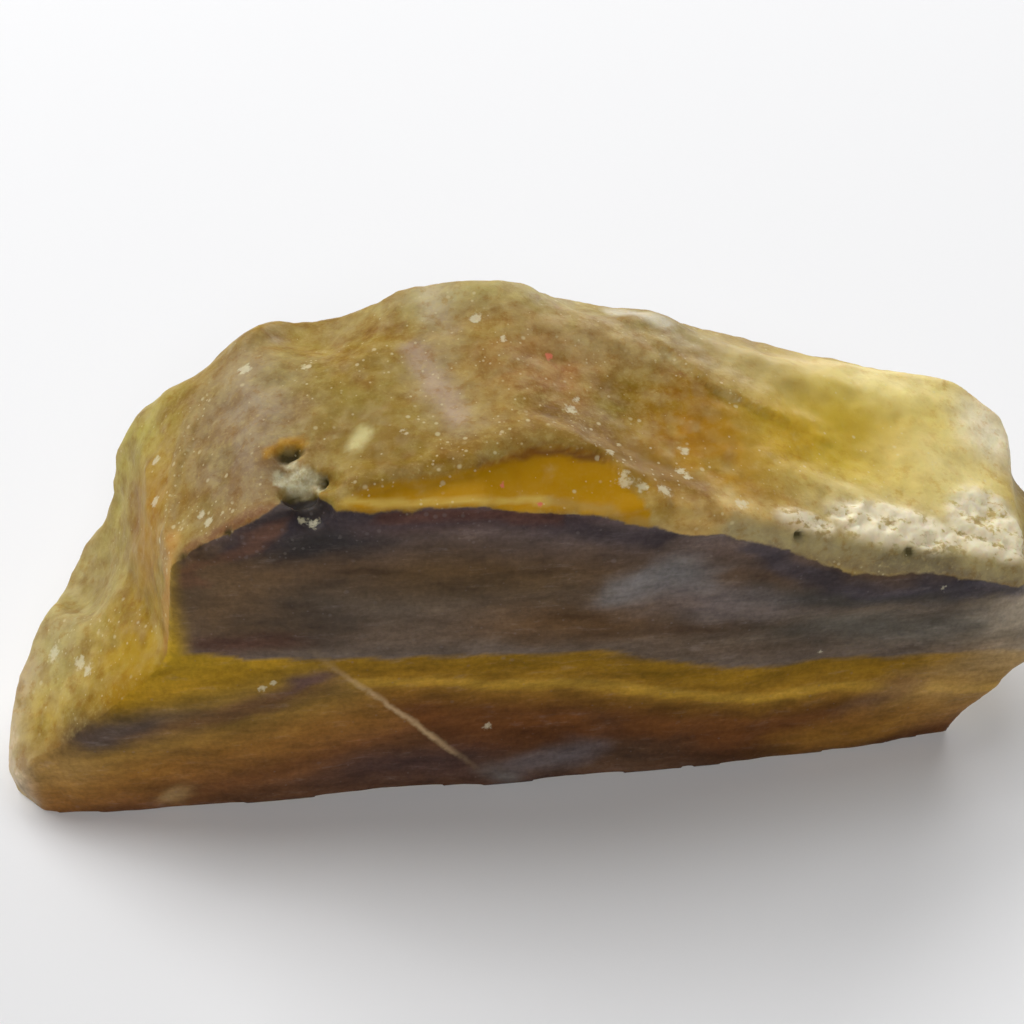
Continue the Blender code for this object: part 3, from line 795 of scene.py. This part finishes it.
def lay_stains(base, places, stains, axis):
    """Soft spots of colour, turned about Z on the top and about Y on the front."""
    for centre, radii, turn, soft, colour, amount in stains.values():
        way = -turn if axis == "Y" else turn
        far = spot_far(places, centre, radii, way, axis)
        base = lay(base, colour, amount * smoothstep(1 + soft, 1 - soft, far))
    return base


def lay_lines(base, places, lines):
    for line, breadth, colour, amount in lines.values():
        base = lay(base, colour, amount * smoothstep(*LINE_EDGE, line_far(places, line) / breadth))
    return base


def layered(values, layers):
    heights = [height for height, _ in layers]
    channels = zip(*[linear(colour) for _, colour in layers])
    return np.stack([np.interp(values, heights, channel) for channel in channels], axis=1)


def drifted(places, drifts):
    """The places shifted by smooth noises."""
    for size, reach, stretch, seed in drifts:
        scaled = places / (np.array(stretch) * size) + seed
        places = places + np.array([noise.noise_vector(p) for p in scaled]) * reach
    return places


def front_ground(places):
    streaky = drifted(places, STREAKS)
    along, _, height = drifted(places, WAVES).T
    level = right_level(along, height)
    right = layered(level, LAYERS_RIGHT)
    left = layered(height - LEFT_DIP * (along - LEFT_START), LAYERS_LEFT)
    left = lay_stains(left, streaky, LENS_STAINS, "Y")
    below = blended(left, right, smoothstep(*VEIN_BLEND, vein_distance(along, height)))
    dark = smoothstep(*DARK_EDGE, level) * smoothstep(*DARK_START, along)
    base = lay_stains(blended(below, right, dark), streaky, FRONT_STAINS, "Y")
    return lay_lines(base, streaky, FRONT_LINES)


def right_level(along, height):
    """The height above the right-hand layers' foot, stretched to follow the wandering lines."""
    fall = RIGHT_DIP * along
    stripe = np.interp(along, *zip(*STRIPE)) - fall
    dark = np.interp(along, *zip(*DARK_FOOT)) - fall
    above = height - fall
    low = above / stripe * STRIPE_LEVEL
    middle = STRIPE_LEVEL + (above - stripe) / (dark - stripe) * (DARK_LEVEL - STRIPE_LEVEL)
    high = DARK_LEVEL + (above - dark) / (TOP_LEVEL - dark) * (TOP_LEVEL - DARK_LEVEL)
    return np.where(above < stripe, low, np.where(above < dark, middle, high))


def vein_line():
    """The direction across the vein's line, and how far along it the line lies."""
    run = Vector(VEIN_END) - Vector(VEIN_START)
    across = Vector((-run.y, run.x)).normalized()
    return across, across.dot(Vector(VEIN_START))


def vein_distance(along, height):
    """How far right of the pale vein's line a point of the front lies."""
    across, start = vein_line()
    return across.x * along + across.y * height - start


def mottled(base, places, window):
    """Small blotches of ochre, grey and olive."""
    bare = (1 - LOST_AT_RIGHT * within(places, FEW_BLOTCHES)) * (1 - LOST_IN_WINDOW * window)
    for size, seed, colour, amount in BLOTCHES:
        blotch = smoothstep(*BLOTCH_EDGE, relief(places, size, seed))
        base = lay(base, colour, amount * blotch * bare)
    return base


def ground_behind(base, places, ragged):
    """The layers show through the frost on the back and on the right end."""
    layers = layered(ragged[:, Z] - RIGHT_DIP * ragged[:, X], LAYERS_RIGHT)
    pale = lay(layers, BACK_FROST, np.full(len(places), FROST_BEHIND))
    behind = np.maximum(within(ragged, RIGHT_END), within(places, BACK))
    return blended(base, pale, LAYERS_BEHIND * behind)


def skin_ground(places, window, hollow):
    """The frosted top, sides and back, with painted shade in the hollows."""
    ragged = drifted(places, SKIN_DRIFT)
    patchy = smoothstep(*PATCH_EDGE, relief(places, *PATCHES))
    base = lay(np.array(linear(OLIVE)), TAN, patchy)
    base = ground_behind(base, places, ragged)
    for stains in (LEFT_STAINS, TOP_STAINS, RIGHT_STAINS):
        base = lay_stains(base, ragged, stains, "Z")
    base = mottled(base, places, window)
    base = lay(base, WINDOW_COLOUR, window)
    base = lay_lines(base, drifted(places, LINE_DRIFT), TOP_LINES)
    # painted shade in the pits and hollows
    return lay(base, PAINTED_HOLLOW_SHADE_COLOUR, HOLLOW_SHADE * hollow)


def dust_mask(places):
    dust = np.full(len(places), DUST)
    for line, breadth, thick in DUSTY:
        dust = np.maximum(dust, thick * smoothstep(*LINE_EDGE, line_far(places, line) / breadth))
    return dust


def chip_field(places, chips):
    """1 at the middle of each chip, 0.5 at its rim and 0 from twice its radius out."""
    field = np.zeros(len(places))
    for centre, radius in chips:
        field = np.maximum(field, 1 - lengths(places - centre) / (2 * radius))
    return field


# ---- the material


class Paint:
    """Builds one material's nodes. Places and sizes are in millimetres."""

    def __init__(self, material):
        material.use_nodes = True
        self.tree = material.node_tree
        self.surface = self.tree.nodes["Principled BSDF"]

    def node(self, kind, **settings):
        made = self.tree.nodes.new(kind)
        for name, value in settings.items():
            setattr(made, name, value)
        return made

    def plug(self, socket, value):
        """Links a socket's value, or sets it."""
        if isinstance(value, bpy.types.NodeSocket):
            self.tree.links.new(value, socket)
        else:
            socket.default_value = value

    def result(self, kind, values, **settings):
        made = self.node(kind, **settings)
        for socket, value in zip(made.inputs, values):
            self.plug(socket, value)
        return made.outputs[0]

    def math(self, operation, *values, clamp=False):
        return self.result("ShaderNodeMath", values, operation=operation, use_clamp=clamp)

    def times(self, one, other):
        return self.math("MULTIPLY", one, other)

    def vector(self, operation, *values):
        return self.result("ShaderNodeVectorMath", values, operation=operation)

    def part(self, vector, axis):
        split = self.node("ShaderNodeSeparateXYZ")
        self.plug(split.inputs[0], vector)
        return split.outputs[axis]

    def ramp(self, value, low, high, start, end, kind="LINEAR"):
        """Runs from start at low to end at high, and stays there."""
        made = self.node("ShaderNodeMapRange", interpolation_type=kind)
        self.plug(made.inputs["Value"], value)
        set_inputs(made, {"From Min": low, "From Max": high, "To Min": start, "To Max": end})
        return made.outputs["Result"]

    def step(self, value, low, high, start=0.0, end=1.0):
        """Runs smoothly from start at low to end at high, also where low is above high."""
        if low > high:
            low, high, start, end = high, low, end, start
        return self.ramp(value, low, high, start, end, "SMOOTHSTEP")

    def strayed(self, value, noise, reach):
        """The value shifted up and down by a noise."""
        return self.math("MULTIPLY_ADD", self.math("SUBTRACT", noise, 0.5), reach, value)

    def mix(self, amount, base, over, blend="MIX"):
        made = self.node("ShaderNodeMix", data_type="RGBA", blend_type=blend)
        self.plug(made.inputs["Factor"], amount)
        self.plug(made.inputs[MIX_BASE], base)
        self.plug(made.inputs[MIX_OVER], linear(over) + (1.0,) if isinstance(over, tuple) else over)
        return made.outputs[MIX_RESULT]

    def noise(self, place, size, detail, roughness, stretch):
        """Noise of about 0.3 to 0.7, with bumps of that many millimetres."""
        scale = tuple(1 / (size * s) for s in stretch)
        made = self.node("ShaderNodeTexNoise")
        self.plug(made.inputs["Vector"], self.vector("MULTIPLY", place, scale))
        set_inputs(made, {"Scale": 1.0, "Detail": detail, "Roughness": roughness})
        return made.outputs["Fac"]

    def stored(self, name, output="Fac"):
        """A mask that the mesh holds, or a colour, from the output Color."""
        return self.node("ShaderNodeAttribute", attribute_name=name).outputs[output]


def specks(paint, place, gap):
    """Scattered pale grains of dust, at most one to a cell of that breadth."""
    made = paint.node("ShaderNodeTexVoronoi", feature="F1")
    paint.plug(made.inputs["Vector"], paint.vector("MULTIPLY", place, (1 / gap,) * 3))
    set_inputs(made, {"Scale": 1.0})
    draw, size = (paint.part(made.outputs["Color"], axis) for axis in (X, Y))
    drawn = paint.math("ADD", draw, paint.stored("dust"))
    reach = paint.ramp(size, 0.0, 1.0, *DUST_SIZES)
    close = paint.step(paint.math("DIVIDE", made.outputs["Distance"], reach), *DUST_EDGE)
    return paint.times(paint.step(drawn, *DUST_DRAWN), close)


def vein(paint, place, coarse):
    """The pale vein down the front, which fades at both ends."""
    across, start = vein_line()
    along, height = paint.part(place, X), paint.part(place, Z)
    far = paint.math("MULTIPLY_ADD", height, across.y, -start)
    far = paint.math("MULTIPLY_ADD", along, across.x, far)
    far = paint.strayed(far, coarse, VEIN_RAGGED)
    thin = paint.step(paint.math("ABSOLUTE", far), VEIN_BREADTH, 0.0)
    ends = paint.times(paint.step(height, *VEIN_FOOT), paint.step(height, *VEIN_HEAD))
    return paint.times(paint.times(thin, ends), paint.step(coarse, *VEIN_PATCHY))


def fluorite_material():
    made = bpy.data.materials.new("banded_fluorite")
    paint = Paint(made)
    place = paint.node("ShaderNodeTexCoord").outputs["Object"]
    place = paint.vector("MULTIPLY", place, (1 / MM,) * 3)
    place = paint.vector("ADD", place, MIDDLE)
    noises = {name: paint.noise(place, *settings) for name, settings in NOISES.items()}
    dusty = paint.math("MAXIMUM", *[specks(paint, place, gap) for gap in DUST_GAPS])

    skin = skin_colour(paint, noises, dusty)
    banded = front_colour(paint, place, noises, dusty)
    edge = paint.strayed(paint.stored("front"), noises["coarse"], EDGE_RAGGED)
    colour = paint.mix(paint.step(edge, *EDGE), skin, banded)
    chips = paint.times(chip_mask(paint, "chips", noises["fine"]), CHIP_AMOUNT)
    colour = paint.mix(chips, colour, CHIP_COLOUR)
    colour = paint.mix(chip_mask(paint, "red_specks", noises["fine"]), colour, RED_COLOUR)

    paint.plug(paint.surface.inputs["Base Color"], colour)
    paint.plug(paint.surface.inputs["Roughness"], roughness(paint, noises["coarse"]))
    paint.plug(paint.surface.inputs["Normal"], fine_bump(paint, noises["fine"]))
    set_inputs(paint.surface, OPTICS)
    return made


def skin_colour(paint, noises, dusty):
    """The frosted ground, the crust and the pocket, under dust."""
    skin = frosted(paint, paint.stored("skin", "Color"), noises)
    skin = crust_colour(paint, skin, noises)
    skin = paint.mix(pocket_cover(paint, noises["fine"]), skin, POCKET_COLOUR)
    return paint.mix(paint.times(dusty, SKIN_DUST), skin, PALE_DUST)


def front_colour(paint, place, noises, dusty):
    """The layers with their fibres, dust and vein."""
    banded = fibrous(paint, paint.stored("banded", "Color"), noises)
    banded = paint.mix(paint.times(dusty, FRONT_DUST), banded, FIBRE_COLOUR)
    return paint.mix(vein(paint, place, noises["coarse"]), banded, VEIN_COLOUR)


def frosted(paint, base, noises):
    """Hazy, dark and golden patches and fine bruised grain, fainter on clear ground."""
    bare = paint.math("MULTIPLY_ADD", paint.stored("clear"), -VEILS_LOST, 1.0)
    for name, low, high, amount, colour, blend in VEILS:
        cover = paint.step(noises[name], low, high, 0.0, amount)
        base = paint.mix(paint.times(cover, bare), base, colour, blend)
    return base


def fibrous(paint, base, noises):
    """Faint light and dark streaks along the front's layers, with cloudy patches and grain."""
    base = paint.mix(paint.step(noises["fibres"], *PALE_FIBRES), base, FIBRE_COLOUR)
    for name, *span in FRONT_SHADES:
        base = paint.mix(1.0, base, paint.ramp(noises[name], *span), "MULTIPLY")
    return base


def crust_colour(paint, base, noises):
    """Powdery white lumps, with the yellow stone showing between them under painted shade."""
    crust = paint.stored("crust")
    lumps = paint.strayed(noises["lumps"], noises["fine"], CRUST_RAGGED)
    cover = paint.times(paint.step(lumps, *CRUST_COVER), crust)
    base = paint.mix(cover, base, CRUST_COLOUR)
    # painted shade in the valleys between the lumps
    shaded = paint.times(paint.step(lumps, *CRUST_SHADED), crust)
    return paint.mix(shaded, base, CRUST_SHADE, "MULTIPLY")


def pocket_cover(paint, fine):
    """The pocket's pale powder, which its hollows lack."""
    bare = paint.math("SUBTRACT", 1.0, paint.stored("hollow"))
    powder = paint.times(bare, paint.step(fine, *POCKET_COVER))
    return paint.times(paint.stored("pocket"), powder)


def chip_mask(paint, name, fine):
    """The chips' field, cut off raggedly at their rims."""
    return paint.step(paint.strayed(paint.stored(name), fine, CHIP_RAGGED), *CHIP_EDGE)


def roughness(paint, coarse):
    """The crust is a little glossier than the rest."""
    rough = paint.math("MULTIPLY_ADD", coarse, ROUGH_RANGE, ROUGH)
    return paint.math("MULTIPLY_ADD", paint.stored("crust"), -CRUST_GLOSS, rough, clamp=True)


def fine_bump(paint, fine):
    """The grain's relief, fainter on clear ground."""
    bump = paint.node("ShaderNodeBump")
    set_inputs(bump, {"Distance": BUMP_DEPTH * MM})
    strength = paint.math("MULTIPLY_ADD", paint.stored("clear"), -BUMP_LOST, BUMP_STRENGTH)
    paint.plug(bump.inputs["Strength"], strength)
    paint.plug(bump.inputs["Height"], fine)
    return bump.outputs["Normal"]


# ---- the studio


def make_camera():
    lens = bpy.data.cameras.new("camera")
    lens.angle = radians(VIEW_ANGLE)
    lens.clip_start = MM
    camera = added("camera", lens)
    yaw, pitch = radians(VIEW_YAW), radians(VIEW_ELEVATION)
    back = Vector((-sin(yaw) * cos(pitch), -cos(yaw) * cos(pitch), sin(pitch)))
    camera.location = (Vector(AIM) - Vector(MIDDLE)) * MM + back * VIEW_DISTANCE * MM
    camera.rotation_euler = (radians(90 - VIEW_ELEVATION), 0.0, -yaw)
    bpy.context.scene.camera = camera


def make_lamps():
    """Soft round lamps on a dome about the stone."""
    for name, (turn, height, watts) in LAMPS.items():
        light = bpy.data.lights.new(name, "AREA")
        light.shape = "DISK"
        light.size = LAMP_BREADTH * MM
        light.energy = watts
        lamp = added(name, light)
        level = cos(radians(height))
        out = Vector((cos(radians(turn)) * level, sin(radians(turn)) * level, sin(radians(height))))
        lamp.location = out * LAMP_DISTANCE * MM
        lamp.rotation_euler = (-out).to_track_quat("-Z", "Y").to_euler()


def make_sky():
    """No light of its own: the lamps make it all."""
    sky = bpy.data.worlds.new("studio")
    sky.use_nodes = True
    set_inputs(sky.node_tree.nodes["Background"], {"Color": BLACK})
    bpy.context.scene.world = sky


def make_floor():
    half = FLOOR_HALF * MM
    mesh = bpy.data.meshes.new("floor")
    corners = [(-half, -half, 0), (half, -half, 0), (half, half, 0), (-half, half, 0)]
    mesh.from_pydata(corners, [], [(0, 1, 2, 3)])
    floor = added("floor", mesh)
    paper = bpy.data.materials.new("paper")
    paper.use_nodes = True
    set_inputs(paper.node_tree.nodes["Principled BSDF"], PAPER)
    mesh.materials.append(paper)


def make_stone(node):
    """The finely sculpted, coloured skin that stands for the CAD solid."""
    stone = copy_of(node)
    ground = sculpt(stone.data)
    places = read_points(stone.data)
    masks = {name: ground[name] for name in MATERIAL_MASKS}
    masks["chips"] = chip_field(places, CHIPS)
    masks["dust"] = dust_mask(places)
    masks["red_specks"] = chip_field(places, RED_SPECKS)
    store_masks(stone.data, masks)
    banded = front_ground(places)
    skin = skin_ground(places, ground["window"], ground["hollow"])
    skin = blended(skin, banded, ground["toe"])
    banded = blended(banded, skin, within(places, LEFT_END))
    store_colours(stone.data, "skin", skin)
    store_colours(stone.data, "banded", banded)
    stone.data.materials.clear()
    stone.data.materials.append(fluorite_material())
    stone.data.shade_smooth()
    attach(stone, "root")
    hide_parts(NODE)


noise.seed_set(DRIFT_SEED)
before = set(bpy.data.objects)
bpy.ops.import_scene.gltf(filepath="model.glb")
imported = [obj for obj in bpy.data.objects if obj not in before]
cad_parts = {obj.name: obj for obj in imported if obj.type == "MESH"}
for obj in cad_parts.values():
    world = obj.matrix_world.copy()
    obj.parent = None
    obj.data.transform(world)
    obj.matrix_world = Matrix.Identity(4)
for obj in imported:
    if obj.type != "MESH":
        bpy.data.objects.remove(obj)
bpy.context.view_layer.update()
make_camera()
make_sky()
make_lamps()
make_floor()
make_stone(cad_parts[NODE])
bpy.context.scene.view_settings.view_transform = "Standard"
